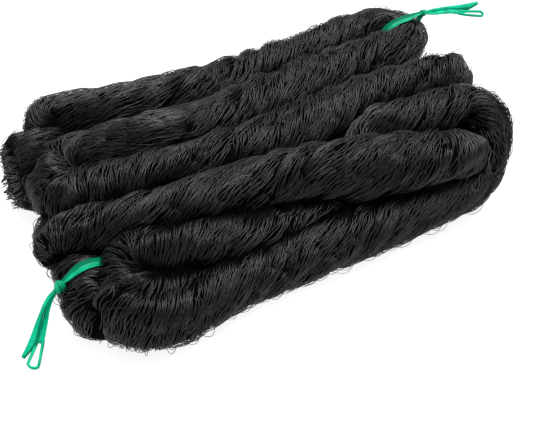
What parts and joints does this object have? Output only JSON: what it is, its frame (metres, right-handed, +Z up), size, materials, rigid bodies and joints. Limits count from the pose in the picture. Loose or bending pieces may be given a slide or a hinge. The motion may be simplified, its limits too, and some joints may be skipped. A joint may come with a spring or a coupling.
{
  "type": "bird netting hank",
  "caption": "Black garden netting gathered into a loosely twisted rope, folded back and forth into a flat bundle and tied with green ribbon.",
  "frame": {"origin": "under the middle of the bundle and its ties, on the surface that carries it", "axes": "+X along the folds towards the end with the big loop, +Y from the front run to the back run, +Z up"},
  "size_m": [0.6449, 0.3327, 0.1053],
  "materials": {
    "net": "dull black twine",
    "ribbon": "mint green plastic ribbon, satin"
  },
  "bodies": {
    "root": {"netting": "net", "tie_left": "ribbon", "tie_right": "ribbon"}
  },
  "joints": []
}
